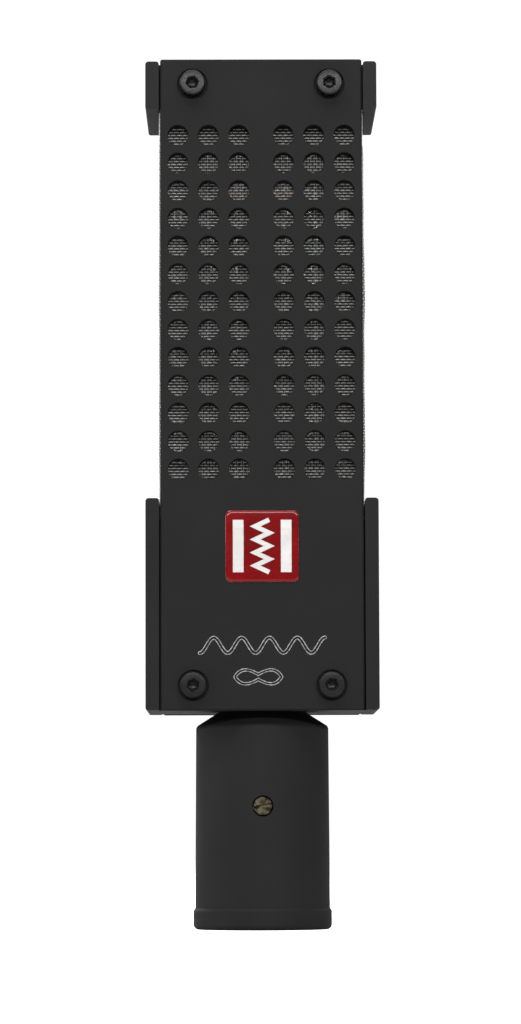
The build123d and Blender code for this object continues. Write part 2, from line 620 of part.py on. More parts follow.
def motor_screws():
    """A screw down through the lower end plate and each rubber mount into the deck."""
    length = MOTOR_LOW + END_PLATE_T - DECK_Z - 0.3
    return [Pos(x, 0, MOTOR_LOW + END_PLATE_T) * slotted_screw(length) for x in (-MOUNT_X, MOUNT_X)]


def motor_buffers():
    """Two rubber buffers that steady the motor's upper end under the top cap."""
    return [rod(x, 0, MOTOR_HIGH, CAP_WEB_BOTTOM, BUFFER_R) for x in (-BUFFER_X, BUFFER_X)]


# ================================================================ leads
def ribbon_leads():
    """Two leads from the clamp blocks down through the deck to the transformer's front terminals."""
    leads = []
    for side, (z0, z1) in zip((-1, 1), clamp_places()):
        x, top = side * CLAMP_LEAD_X, (z0 + z1) / 2
        deck_x, terminal_x = side * LEAD_X, side * TERMINAL_X
        points = [(x, BLOCK_T + LEAD_GAP, top), (x, LEAD_Y - 1.2, top - 1), (deck_x, LEAD_Y, top - 8),
                  (deck_x, LEAD_Y, LEAD_LOW_Z + 8), (terminal_x, LEAD_Y - 0.4, LEAD_LOW_Z),
                  (terminal_x, TERMINAL_Y + TERMINAL_R + 0.05, LEAD_LOW_Z)]
        leads.append(wire(points, 1.2, LEAD_R))
    return leads


def transformer_leads():
    """Two short leads from the transformer's other terminals straight down to the terminal board."""
    return [rod(x, -TERMINAL_Y, BOARD_Z + BOARD_T, TERMINAL_LOW, LEAD_R) for x in (-TERMINAL_X, TERMINAL_X)]


def output_leads():
    """Three leads from the terminal board over its hole's edge and down the neck to the contact pins."""
    leads = []
    for x, y in contact_places():
        outer, inner = 1.25, 0.6
        points = [(x * outer, y * outer, BOARD_Z + BOARD_T), (x * outer, y * outer, LEAD_ARCH_Z),
                  (x * inner, y * inner, LEAD_ARCH_Z), (x * inner, y * inner, HOUSING_BOTTOM + 7),
                  (x, y, HOUSING_BOTTOM - 1), (x, y, PIN_TAIL_Z - 1.5)]
        leads.append(wire(points, 1.2, LEAD_R))
    return leads


# ================================================================ export
PIECES = {
    "front_plate": front_plate, "rear_plate": rear_plate, "top_cap": top_cap,
    "lower_housing": lower_housing, "front_cap_screws": cap_screws, "rear_cap_screws": rear_cap_screws,
    "badge_base": badge_base, "badge_enamel": badge_enamel, "mesh_sleeve": mesh_sleeve,
    "inner_screen": inner_screen, "neck_barrel": neck_barrel, "connector_insert": connector_insert,
    "contact_pins": contact_pins, "lock_screw": lock_screw, "neck_washer": neck_washer,
    "neck_nut": neck_nut, "deck_plate": deck_plate, "deck_pillars": deck_pillars,
    "deck_screws": deck_screws, "transformer_can": transformer_can, "transformer_core": transformer_core,
    "transformer_strap": transformer_strap, "strap_screws": strap_screws, "terminal_board": terminal_board,
    "board_spacers": board_spacers, "board_screws": board_screws, "right_rail": right_rail,
    "rail_screws": rail_screws, "lower_end_plate": lower_end_plate, "upper_end_plate": upper_end_plate,
    "right_magnet": right_magnet, "right_pole": right_pole, "ribbon": ribbon, "ribbon_ends": ribbon_ends,
    "lower_clamp_block": lower_clamp_block, "upper_clamp_block": upper_clamp_block,
    "clamp_bars": clamp_bars, "clamp_screws": clamp_screws, "isolation_mounts": isolation_mounts,
    "motor_screws": motor_screws, "motor_buffers": motor_buffers, "ribbon_leads": ribbon_leads,
    "transformer_leads": transformer_leads, "output_leads": output_leads,
}
MIRRORED = {"left_rail": "right_rail", "left_magnet": "right_magnet", "left_pole": "right_pole"}


def write_parts():
    """Write one STEP file for each piece."""
    os.makedirs("parts", exist_ok=True)
    shapes = {name: make() for name, make in PIECES.items()}
    for name, source in MIRRORED.items():
        shapes[name] = mirrored(shapes[source])
    for name, shape in shapes.items():
        whole = Compound(children=shape) if isinstance(shape, list) else shape
        export_step(whole, f"parts/{name}.step")


write_parts()
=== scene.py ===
"""Looks of the ribbon microphone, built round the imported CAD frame.

Sizes here are in millimetres, in the frame's own axes, and MM turns them into metres. The lights and the
floor are placed in metres. The front of the microphone faces -Y.
"""
import math

import bmesh
import bpy
import numpy as np
from mathutils import Matrix, Vector


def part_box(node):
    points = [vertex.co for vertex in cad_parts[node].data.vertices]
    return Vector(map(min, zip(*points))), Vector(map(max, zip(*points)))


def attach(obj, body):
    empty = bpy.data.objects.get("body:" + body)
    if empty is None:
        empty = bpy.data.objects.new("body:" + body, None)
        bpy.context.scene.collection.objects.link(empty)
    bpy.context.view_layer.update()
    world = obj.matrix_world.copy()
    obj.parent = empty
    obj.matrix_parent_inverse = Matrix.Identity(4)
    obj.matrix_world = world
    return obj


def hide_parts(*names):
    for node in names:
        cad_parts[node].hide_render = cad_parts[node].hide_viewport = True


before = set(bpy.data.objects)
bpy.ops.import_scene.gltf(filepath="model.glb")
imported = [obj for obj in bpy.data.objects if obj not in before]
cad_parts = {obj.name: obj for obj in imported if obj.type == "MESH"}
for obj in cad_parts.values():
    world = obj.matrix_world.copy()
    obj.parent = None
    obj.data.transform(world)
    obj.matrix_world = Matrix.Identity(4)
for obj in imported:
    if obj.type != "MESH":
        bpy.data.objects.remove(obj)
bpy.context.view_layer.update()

MM = 0.001
BODY = "microphone"
WHITE = (1, 1, 1, 1)


def box_mm(node):
    """A CAD node's lowest and highest corners, in millimetres."""
    low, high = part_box(node)
    return np.array(low) / MM, np.array(high) / MM


MESH_LOW, MESH_HIGH = box_mm("mesh_sleeve")
SCREEN_LOW, SCREEN_HIGH = box_mm("inner_screen")
BADGE_LOW, BADGE_HIGH = box_mm("badge_base")
BADGE_MIDDLE = (BADGE_LOW[2] + BADGE_HIGH[2]) / 2
FRONT = box_mm("front_plate")[0][1]        # the front plate's face


# ================================================================ materials
def principled(name, **sockets):
    """A new material whose Principled shader has these socket values."""
    material = bpy.data.materials.new(name)
    material.use_nodes = True
    shader = material.node_tree.nodes["Principled BSDF"]
    for socket, value in sockets.items():
        shader.inputs[socket.replace("_", " ")].default_value = value
    return material


def noise(material, scale, detail=2.0, stretch=(1, 1, 1)):
    """Noise in the object's own coordinates, with scale in cycles per metre. Returns its value socket."""
    nodes, links = material.node_tree.nodes, material.node_tree.links
    place = nodes.new("ShaderNodeTexCoord")
    mapping = nodes.new("ShaderNodeMapping")
    texture = nodes.new("ShaderNodeTexNoise")
    mapping.inputs["Scale"].default_value = stretch
    texture.inputs["Scale"].default_value = scale
    texture.inputs["Detail"].default_value = detail
    links.new(place.outputs["Object"], mapping.inputs["Vector"])
    links.new(mapping.outputs["Vector"], texture.inputs["Vector"])
    return texture.outputs["Fac"]


def colour_from(material, factor, low, high):
    """The base colour runs from low to high over the factor's middle range."""
    nodes, links = material.node_tree.nodes, material.node_tree.links
    ramp = nodes.new("ShaderNodeValToRGB")
    for element, position, colour in zip(ramp.color_ramp.elements, (0.35, 0.65), (low, high)):
        element.position, element.color = position, (*colour, 1)
    links.new(factor, ramp.inputs["Fac"])
    links.new(ramp.outputs["Color"], nodes["Principled BSDF"].inputs["Base Color"])


def roughness_from(material, factor, low, high):
    """The roughness runs from low to high over the factor's middle range."""
    nodes, links = material.node_tree.nodes, material.node_tree.links
    spread = nodes.new("ShaderNodeMapRange")
    spread.inputs["From Min"].default_value = 0.3
    spread.inputs["From Max"].default_value = 0.7
    spread.inputs["To Min"].default_value = low
    spread.inputs["To Max"].default_value = high
    links.new(factor, spread.inputs["Value"])
    links.new(spread.outputs["Result"], nodes["Principled BSDF"].inputs["Roughness"])


def bump_from(material, factor, height):
    """A bump of the given height in millimetres."""
    nodes, links = material.node_tree.nodes, material.node_tree.links
    bump = nodes.new("ShaderNodeBump")
    bump.inputs["Strength"].default_value = 1.0
    bump.inputs["Distance"].default_value = height * MM
    links.new(factor, bump.inputs["Height"])
    links.new(bump.outputs["Normal"], nodes["Principled BSDF"].inputs["Normal"])


def grained(name, low, high, roughness, grain, height, metallic=0.0, tone=90.0, stretch=(1, 1, 1),
            **sockets):
    """A surface whose tone varies broadly between two colours, with a finely grained roughness and height.

    roughness holds the lowest and highest roughness. tone and grain are in cycles per metre, and height, the
    grain's, in millimetres. stretch draws the grain out along an axis.
    """
    material = principled(name, Metallic=metallic, **sockets)
    colour_from(material, noise(material, tone, 3.0), low, high)
    fine = noise(material, grain, 3.0, stretch)
    roughness_from(material, fine, *roughness)
    bump_from(material, fine, height)
    return material


def black_coat(name="black_coat", painted_light_factor=1.0):
    """Fine matte black powder coat, slightly uneven in tone. A lightness factor over 1 makes a lighter copy
    of the same coat, which is painted light.
    """
    low, high = np.array((0.0088, 0.0083, 0.0083)), np.array((0.0104, 0.0098, 0.0098))
    return grained(name, tuple(low * painted_light_factor), tuple(high * painted_light_factor), (0.62, 0.74),
                   5200, 0.012, tone=60.0, Specular_IOR_Level=0.12)


def black_steel():
    """The cap screws' blackened steel."""
    return grained("black_steel", (0.005, 0.005, 0.0048), (0.009, 0.009, 0.0087), (0.24, 0.36),
                   4200, 0.006, metallic=0.15, tone=420.0, Specular_IOR_Level=0.2)


def red_enamel():
    """Deep red enamel under a clear gloss."""
    return grained("red_enamel", (0.12, 0.0006, 0.0014), (0.16, 0.0009, 0.002), (0.2, 0.3),
                   500, 0.003, tone=160.0, Specular_IOR_Level=0.05, Coat_Weight=0.5, Coat_Roughness=0.04)


def pearl():
    """The badge's raised strokes."""
    return grained("pearl", (0.46, 0.455, 0.44), (0.53, 0.525, 0.51), (0.25, 0.4),
                   900, 0.004, tone=260.0)


def engraving():
    """Bare grey metal in the signs' thin lines."""
    return grained("engraving", (0.09, 0.09, 0.09), (0.34, 0.34, 0.34), (0.35, 0.6),
                   3000, 0.004, metallic=0.3, tone=1500.0)


def wire_metal(name, shade, roughness, metallic=0.4):
    """Drawn wire. Its pattern is in the weave, so its values are even."""
    return principled(name, Base_Color=(*shade, 1), Metallic=metallic, Roughness=roughness)


def painted_shade_wire():
    """The mesh's upright wires: the same wire as the wires round them, painted darker and duller as painted
    shade.
    """
    return wire_metal("mesh_wire_deep", (0.06, 0.059, 0.056), 0.5, metallic=0.0)


def metal(name, low, high, roughness, stretch=(1, 1, 1), grain=2500, height=0.004, tone=120.0):
    """A grained surface of bare metal."""
    return grained(name, low, high, roughness, grain, height, metallic=1.0, tone=tone, stretch=stretch)


PLAIN = "plain_"
# Painted light: the cap, housing and neck get copies of the plates' coat, painted lighter by these factors
COAT_PAINTED_LIGHT = {"top_cap": 1.35, "lower_housing": 1.15, "neck_barrel": 1.25}    # against the plates' coat


def slot_materials():
    """One material for each of the record's slots. The frame's own plain ones give up their names."""
    for material in list(bpy.data.materials):
        material.name = PLAIN + material.name
    up_z, along_x, round_z = (1, 1, 0.04), (0.04, 1, 1), (1, 1, 12)      # how the grain runs
    made = [
        black_coat(), black_steel(), red_enamel(),
        metal("badge_rim", (0.2, 0.05, 0.05), (0.34, 0.1, 0.1), (0.2, 0.34)),
        metal("pin_plating", (0.62, 0.61, 0.58), (0.82, 0.81, 0.78), (0.16, 0.32), stretch=round_z),
        metal("aged_brass", (0.015, 0.013, 0.008), (0.105, 0.088, 0.055), (0.35, 0.6), height=0.012,
              tone=900.0),
        metal("brass", (0.55, 0.38, 0.14), (0.74, 0.55, 0.25), (0.2, 0.36), stretch=round_z),
        metal("aluminium_plate", (0.58, 0.58, 0.59), (0.72, 0.72, 0.73), (0.28, 0.46), stretch=along_x),
        metal("zinc_steel", (0.5, 0.5, 0.53), (0.68, 0.69, 0.72), (0.22, 0.4)),
        metal("shield_steel", (0.42, 0.41, 0.4), (0.56, 0.55, 0.53), (0.3, 0.48), stretch=up_z),
        metal("magnet_plating", (0.6, 0.58, 0.54), (0.74, 0.72, 0.68), (0.18, 0.32), height=0.002),
        metal("pole_steel", (0.34, 0.34, 0.34), (0.46, 0.46, 0.46), (0.3, 0.5), stretch=up_z),
        metal("ribbon_foil", (0.72, 0.72, 0.73), (0.86, 0.86, 0.87), (0.18, 0.4), grain=4000, tone=600.0),
        grained("black_plastic", (0.014, 0.014, 0.014), (0.024, 0.024, 0.024), (0.4, 0.55), 2500, 0.01),
        grained("fibre", (0.24, 0.06, 0.04), (0.36, 0.1, 0.07), (0.6, 0.8), 1800, 0.02, stretch=round_z),
        grained("potting", (0.012, 0.012, 0.014), (0.03, 0.03, 0.034), (0.25, 0.5), 300, 0.06),
        grained("board_laminate", (0.03, 0.13, 0.06), (0.05, 0.19, 0.09), (0.35, 0.55), 2400, 0.006),
        grained("phenolic", (0.2, 0.09, 0.035), (0.3, 0.14, 0.06), (0.4, 0.6), 1500, 0.01, stretch=along_x),
        grained("rubber", (0.012, 0.012, 0.012), (0.03, 0.03, 0.03), (0.7, 0.88), 2200, 0.03),
        grained("lead_jacket", (0.3, 0.02, 0.016), (0.42, 0.035, 0.028), (0.4, 0.55), 1500, 0.01),
        wire_metal("mesh_wire", (0.95, 0.945, 0.93), 0.28),
        # Painted shade: the inner screen's wire is near black so that the inside shows dark between the
        # outer wires
        wire_metal("screen_wire", (0.015, 0.0147, 0.014), 0.55),
    ]
    return {material.name: material for material in made}


def paint_nodes(materials):
    """Each CAD node's slots take the materials of the same names, and some shells take lighter copies of the
    coat, which are painted light.
    """
    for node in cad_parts.values():
        for slot in node.material_slots:
            slot.material = materials[slot.material.name.removeprefix(PLAIN)]
    for name, painted_light_factor in COAT_PAINTED_LIGHT.items():
        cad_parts[name].material_slots[0].material = black_coat(f"black_coat_{name}", painted_light_factor)


# ================================================================ mesh building
def add_piece(name, verts, faces, material, replaced=(), smooth=True):
    """A mesh object from points in millimetres, riding on the microphone.

    faces is a list of tuples, or an array when every face has the same number of corners.
    """
    mesh = bpy.data.meshes.new(name)
    verts = np.asarray(verts, np.float32).reshape(-1, 3) * MM
    if isinstance(faces, np.ndarray):
        corners = faces.shape[1]
        mesh.vertices.add(len(verts))
        mesh.vertices.foreach_set("co", verts.ravel())
        mesh.loops.add(faces.size)
        mesh.loops.foreach_set("vertex_index", faces.astype(np.int32).ravel())
        mesh.polygons.add(len(faces))
        mesh.polygons.foreach_set("loop_start", np.arange(0, faces.size, corners, dtype=np.int32))
        mesh.update(calc_edges=True)
    else:
        mesh.from_pydata(verts.tolist(), [], faces)
        mesh.update()
    mesh.polygons.foreach_set("use_smooth", [smooth] * len(mesh.polygons))
    mesh.materials.append(material)
    piece = bpy.data.objects.new(name, mesh)
    bpy.context.scene.collection.objects.link(piece)
    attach(piece, BODY)
    if replaced:
        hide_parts(*replaced)
    return piece


WIRE_SIDES = 4


def tubes(centres, out, side, radius, closed):
    """Quads round many wires at once. centres, out and side have the shape (wires, points, 3)."""
    turn = np.arange(WIRE_SIDES) * 2 * math.pi / WIRE_SIDES
    ring = (out[..., None, :] * np.cos(turn)[:, None] + side[..., None, :] * np.sin(turn)[:, None]) * radius
    verts = centres[..., None, :] + ring
    wires, points = centres.shape[:2]
    index = np.arange(wires * points * WIRE_SIDES).reshape(wires, points, WIRE_SIDES)
    start = index if closed else index[:, :-1]
    end = np.roll(index, -1, axis=1) if closed else index[:, 1:]
    quads = [start, np.roll(start, -1, axis=2), np.roll(end, -1, axis=2), end]
    faces = np.stack([quad.ravel() for quad in quads], axis=1)
    if not closed:
        caps = np.concatenate([index[:, 0, ::-1], index[:, -1]])
        faces = np.concatenate([faces, caps])
    return verts.reshape(-1, 3), faces


def around(lengths, half_x, half_y, corner):
    """Points and outward normals at these lengths round a rounded rectangle.

    The lengths run from the low end of its right side, towards +Y.
    """
    points, normals = np.zeros((len(lengths), 3)), np.zeros((len(lengths), 3))
    arc = math.pi * corner / 2
    left = np.array(lengths, float)
    todo = np.ones(len(left), bool)
    centre = np.array([half_x - corner, corner - half_y])
    for quarter in range(4):
        straight = 2 * ((half_y if quarter % 2 == 0 else half_x) - corner)
        angle = quarter * math.pi / 2
        normal = np.array([math.cos(angle), math.sin(angle)])
        tangent = np.array([-normal[1], normal[0]])
        on_side = todo & (left < straight)
        points[on_side, :2] = centre + corner * normal + left[on_side, None] * tangent
        normals[on_side, :2] = normal
        centre = centre + straight * tangent
        on_arc = todo & ~on_side & (left < straight + arc)
        turned = angle + (left[on_arc] - straight) / corner
        rim = np.stack([np.cos(turned), np.sin(turned)], axis=1)
        points[on_arc, :2] = centre + corner * rim
        normals[on_arc, :2] = rim
        todo &= ~(on_side | on_arc)
        left = left - straight - arc
    return points, normals


def perimeter(half_x, half_y, corner):
    """The length round a rounded rectangle."""
    return 4 * (half_x + half_y - 2 * corner) + 2 * math.pi * corner


# ================================================================ woven mesh sleeve
WIRE_PITCH = 0.635
WIRE_R = 0.105
ROUND_WEAVE, UPRIGHT_WEAVE = 0.2, 0.02     # how far a wire swings from the middle of the cloth
STEPS = 2                                  # points per crossing along a wire
MESH_CORNER = 2.0
BULGE_LEFT, BULGE_RIGHT = 0.2, 0.45        # how far the narrow sides stand out
BULGE_LOW, BULGE_HIGH = 93.0, 169.0        # the heights at which they are held flat
SHARES = 3                                 # pieces that each set of wires is split into


def unevenness(normals, z):
    """How far the sides of the sleeve stand out from flat: gentle waves that die out at its held ends."""
    along = np.clip((z - BULGE_LOW) / (BULGE_HIGH - BULGE_LOW), 0, 1)
    waves = 0.7 + 0.2 * np.sin(z / 5.3 + 0.8) + 0.15 * np.sin(z / 2.1) * np.sin(z / 9.0)
    bulge = np.where(normals[..., :1] > 0, BULGE_RIGHT, BULGE_LEFT)
    return bulge * normals[..., :1] ** 2 * (np.sin(math.pi * along) ** 0.35 * waves)[..., None]


def woven_sleeve(materials):
    """The sleeve's cloth: upright wires and wires round it, each passing over and under the others."""
    inset = WIRE_R + ROUND_WEAVE
    half_x, half_y = MESH_HIGH[0] - inset, MESH_HIGH[1] - inset
    length = perimeter(half_x, half_y, MESH_CORNER)
    uprights = 2 * round(length / WIRE_PITCH / 2)
    pitch = length / uprights
    low, high = MESH_LOW[2] + WIRE_R, MESH_HIGH[2] - WIRE_R
    rounds = round((high - low) / WIRE_PITCH)
    rise = (high - low) / rounds

    # the upright wires take the painted-shade copy of the wire
    painted_shade = painted_shade_wire()
    points, normals = around((np.arange(uprights) + 0.5) * pitch, half_x, half_y, MESH_CORNER)
    step = np.arange(rounds * STEPS + 1) / STEPS
    z = low + step * rise
    swing = UPRIGHT_WEAVE * np.cos(math.pi * (step[None, :] + np.arange(uprights)[:, None]))
    out = np.broadcast_to(normals[:, None, :], (uprights, len(step), 3))
    side = np.stack([-out[..., 1], out[..., 0], out[..., 2]], axis=-1)
    centres = points[:, None, :] + out * swing[..., None] + np.array([0, 0, 1]) * z[None, :, None]
    centres = centres + out * unevenness(out, centres[..., 2])
    for share, wires in enumerate(np.array_split(np.arange(uprights), SHARES)):
        verts, faces = tubes(centres[wires], out[wires], side[wires], WIRE_R, closed=False)
        add_piece(f"mesh_upright_wires_{share + 1}", verts, faces, painted_shade,
                  ["mesh_sleeve"])

    step = np.arange(uprights * STEPS) / STEPS
    points, normals = around((step + 0.5) * pitch % length, half_x, half_y, MESH_CORNER)
    swing = -ROUND_WEAVE * np.cos(math.pi * (step[None, :] + np.arange(rounds)[:, None]))
    shape = (rounds, len(step), 3)
    out = np.broadcast_to(normals[None], shape)
    side = np.broadcast_to(np.array([0.0, 0.0, 1.0]), shape)
    z = low + np.arange(rounds) * rise
    centres = points[None] + out * swing[..., None] + side * z[:, None, None]
    centres = centres + out * unevenness(out, centres[..., 2])
    for share, wires in enumerate(np.array_split(np.arange(rounds), SHARES)):
        verts, faces = tubes(centres[wires], out[wires], side[wires], WIRE_R, closed=True)
        add_piece(f"mesh_round_wires_{share + 1}", verts, faces, materials["mesh_wire"],
                  ["mesh_sleeve"])


SCREEN_PITCH, SCREEN_WIRE_R = 0.42, 0.085
SCREEN_BENDS = 6                           # straight lengths to each corner of a wire round the screen


def fine_screen(materials):
    """The inner screen: fine upright wires with fine wires round them."""
    half_x, half_y = SCREEN_HIGH[0] - SCREEN_WIRE_R, SCREEN_HIGH[1] - SCREEN_WIRE_R
    low, high = SCREEN_LOW[2] + SCREEN_WIRE_R, SCREEN_HIGH[2] - SCREEN_WIRE_R
    length = perimeter(half_x, half_y, MESH_CORNER)
    uprights, rounds = round(length / SCREEN_PITCH), round((high - low) / SCREEN_PITCH)
    inside = 2 * SCREEN_WIRE_R
    points, normals = around(np.arange(uprights) * length / uprights, half_x - inside, half_y - inside,
                             MESH_CORNER - inside)
    ends = np.array([low, high])
    out = np.broadcast_to(normals[:, None, :], (uprights, 2, 3))
    side = np.stack([-out[..., 1], out[..., 0], out[..., 2]], axis=-1)
    centres = points[:, None, :] + np.array([0, 0, 1]) * ends[None, :, None]
    verts, faces = tubes(centres, out, side, SCREEN_WIRE_R, closed=False)
    add_piece("screen_upright_wires", verts, faces, materials["screen_wire"],
              ["inner_screen"])

    stops = corner_lengths(half_x, half_y, MESH_CORNER, SCREEN_BENDS)
    points, normals = around(stops, half_x, half_y, MESH_CORNER)
    shape = (rounds, len(stops), 3)
    out = np.broadcast_to(normals[None], shape)
    side = np.broadcast_to(np.array([0.0, 0.0, 1.0]), shape)
    centres = points[None] + side * np.linspace(low, high, rounds)[:, None, None]
    verts, faces = tubes(centres, out, side, SCREEN_WIRE_R, closed=True)
    add_piece("screen_round_wires", verts, faces, materials["screen_wire"],
              ["inner_screen"])


JUST_UNDER = 0.999999                      # keeps the last length off the outline's very end


def corner_lengths(half_x, half_y, corner, bends):
    """The lengths round a rounded rectangle at which its corners start, bend and end."""
    stops, at = [], 0.0
    for quarter in range(4):
        at += 2 * ((half_y if quarter % 2 == 0 else half_x) - corner)
        arc = math.pi * corner / 2
        stops += [at + arc * bend / bends for bend in range(bends + 1)]
        at += arc
    return np.array(stops) * JUST_UNDER


# ================================================================ cap screws
HEAD_R, HEAD_H = 2.75, 3.0
SHANK_R, SHANK_LENGTH = 1.45, 8.0
TIP_R, TIP_TAPER = 0.9, 0.4
FOOT_BEVEL = 0.15                          # under the head
KNURLS, KNURL_DEPTH, KNURL_END = 36, 0.09, 0.25
EDGE_R, EDGE_START, EDGE_POINTS = 0.32, 0.35, 5    # the head's rounded rim, from this angle up
KEY_ACROSS, KEY_DEPTH, KEY_BEVEL = 2.0, 2.3, 0.35
DRILL_R, DRILL_DEPTH = 0.55, 0.25          # the drilled point under the hexagon
SCREW_TURNS = (0.35, 0.9, 0.15, 0.6)       # how far each screw is turned, in radians


def ring_quads(first, count, rings):
    """Quads between neighbouring rings of count points each, which are numbered on from first."""
    return [(first + ring * count + i, first + ring * count + (i + 1) % count,
             first + (ring + 1) * count + (i + 1) % count, first + (ring + 1) * count + i)
            for ring in range(rings - 1) for i in range(count)]


def cap_screw_rings():
    """The angles and the rings of a cap screw, from its tip to the bottom of its hexagon.

    A ring holds the radius at each angle and its height over the head's seat.
    """
    count = 2 * KNURLS
    angles = np.arange(count) * 2 * math.pi / count
    circle = np.ones(count)
    knurl = 1 - KNURL_DEPTH / HEAD_R * (np.arange(count) % 2)
    hexagon = (KEY_ACROSS / 2) / np.cos((angles % (math.pi / 3)) - math.pi / 6)
    lip = HEAD_H - EDGE_R
    rings = [
        (circle * TIP_R, -SHANK_LENGTH), (circle * SHANK_R, -SHANK_LENGTH + TIP_TAPER),
        (circle * SHANK_R, 0), (circle * (HEAD_R - FOOT_BEVEL), 0), (knurl * HEAD_R, FOOT_BEVEL),
        (knurl * HEAD_R, lip - KNURL_END), (circle * (HEAD_R - 0.02), lip),
    ]
    rings += [(circle * (HEAD_R - EDGE_R * (1 - math.cos(a))), lip + EDGE_R * math.sin(a))
              for a in np.linspace(EDGE_START, math.pi / 2, EDGE_POINTS)]
    rings += [(hexagon + KEY_BEVEL, HEAD_H), (hexagon, HEAD_H - KEY_BEVEL), (hexagon, HEAD_H - KEY_DEPTH),
              (circle * DRILL_R, HEAD_H - KEY_DEPTH - DRILL_DEPTH)]
    return angles, rings


def cap_screws(name, node, materials, front):
    """Four socket head cap screws in place of a CAD node, all turned a little differently."""
    low, high = box_mm(node)
    angles, rings = cap_screw_rings()
    count = len(angles)
    face_out = -1 if front else 1
    seat = abs(low[1] if front else high[1]) - HEAD_H
    places = [(x, z) for z in (low[2] + HEAD_R, high[2] - HEAD_R)
              for x in (low[0] + HEAD_R, high[0] - HEAD_R)]
    verts, faces = [], []
    for (x, z), turn in zip(places, SCREW_TURNS):
        turned = angles + turn
        first = len(verts)
        for radii, height in rings:
            verts += [(x + r * math.cos(a) * -face_out, face_out * (seat + height), z + r * math.sin(a))
                      for r, a in zip(radii, turned)]
        faces += ring_quads(first, count, len(rings))
        faces.append(tuple(reversed(range(first, first + count))))
        faces.append(tuple(range(len(verts) - count, len(verts))))
    piece = add_piece(name, verts, faces, materials["black_steel"], [node])
    sharpen(piece, 32)


def sharpen(piece, degrees):
    """Smooth shading, broken at edges sharper than this."""
    shaped = bmesh.new()
    shaped.from_mesh(piece.data)
    bmesh.ops.recalc_face_normals(shaped, faces=shaped.faces)
    for edge in shaped.edges:
        edge.smooth = len(edge.link_faces) == 2 and edge.calc_face_angle() < math.radians(degrees)
    shaped.to_mesh(piece.data)
    shaped.free()


# ================================================================ badge
BADGE_PROUD, BADGE_CORNER = 0.42, 1.2
TRAY_PROFILE = [(0.3, -0.45), (0, -0.45), (0, 0.14), (0.06, 0.2), (0.4, 0.2)]    # inset, height
ENAMEL_INSET, ENAMEL_LOW, TRAY_TOP = 0.08, 0.1, 0.2
DOME_ROLL, DOME_RISE = 0.55, 0.2           # the enamel's rounded edge, inwards and outwards
DOME_CROWN = [(2.2, BADGE_PROUD), (5.0, BADGE_PROUD + 0.02)]       # inset, height
STROKE_PROUD, STROKE_ROOT, STROKE_BEVEL = 0.1, 0.2, 0.06
SIGN_REACH = 5.6                           # half the sign's height
POLE_AT, POLE_WIDTH = 5.1, 2.3
FOLDS, FOLD_REACH, FOLD_WIDTH = 8, 1.5, 1.0
STEEPEST_MITRE = 0.35                      # limits how far a sharp corner is drawn out


def offset_line(points, distance, closed=False):
    """The same line moved sideways, with mitred corners."""
    points = np.asarray(points, float)
    ahead = np.roll(points, -1, axis=0) - points
    if not closed:
        ahead[-1] = ahead[-2]
    behind = np.roll(ahead, 1, axis=0)
    if not closed:
        behind[0] = ahead[0]
    ahead /= np.linalg.norm(ahead, axis=1)[:, None]
    behind /= np.linalg.norm(behind, axis=1)[:, None]
    mitre = ahead + behind
    mitre /= np.linalg.norm(mitre, axis=1)[:, None]
    normal = np.stack([-mitre[:, 1], mitre[:, 0]], axis=1)
    lean = (mitre * ahead).sum(axis=1)
    return points + normal * (distance / np.maximum(lean, STEEPEST_MITRE))[:, None]


def raised_stroke(name, line, width, y_low, y_high, material):
    """A raised bar of the badge along a line of x and z points, with softened edges."""
    outline = np.concatenate([offset_line(line, width / 2), offset_line(line, -width / 2)[::-1]])
    count = len(outline)
    verts = [(x, y, z) for y in (y_low, y_high) for x, z in outline]
    half = count // 2
    faces = []
    for i in range(half - 1):
        quad = (i, i + 1, count - 2 - i, count - 1 - i)
        faces += [quad, tuple(v + count for v in reversed(quad))]
    for i in range(count):
        j = (i + 1) % count
        faces.append((i, i + count, j + count, j))
    piece = add_piece(name, verts, faces, material)
    sharpen(piece, 30)
    bevel = piece.modifiers.new("softened", "BEVEL")
    bevel.width, bevel.segments, bevel.limit_method = STROKE_BEVEL * MM, 3, "ANGLE"
    bevel.angle_limit = math.radians(40)


def badge_dome(materials):
    """The tray and its enamel: a rounded square whose clear dome rolls over at the edges."""
    half_x, half_z = (BADGE_HIGH[0] - BADGE_LOW[0]) / 2, (BADGE_HIGH[2] - BADGE_LOW[2]) / 2
    stops = corner_lengths(half_x, half_z, BADGE_CORNER, 8)
    outline = around(stops, half_x, half_z, BADGE_CORNER)[0][:, :2]
    count = len(outline)

    def ring(inset, proud):
        """The outline drawn in by inset, at this height over the plate."""
        across, upright = 1 - inset / half_x, 1 - inset / half_z
        return [(x * across, FRONT - proud, BADGE_MIDDLE + z * upright) for x, z in outline]

    def shell(name, profile, slot, node):
        """A closed solid through the rings of a profile of insets and heights."""
        verts = [point for inset, proud in profile for point in ring(inset, proud)]
        faces = ring_quads(0, count, len(profile))
        faces += [tuple(range(count)), tuple(reversed(range(len(verts) - count, len(verts))))]
        sharpen(add_piece(name, verts, faces, materials[slot], [node]), 40)

    shell("badge_tray", TRAY_PROFILE, "badge_rim", "badge_base")
    roll = [(ENAMEL_INSET + DOME_ROLL * (1 - math.cos(a)), TRAY_TOP + DOME_RISE * math.sin(a))
            for a in np.linspace(0, math.pi / 2, 7)]
    shell("badge_dome", [(ENAMEL_INSET, ENAMEL_LOW), *roll, *DOME_CROWN], "red_enamel", "badge_enamel")


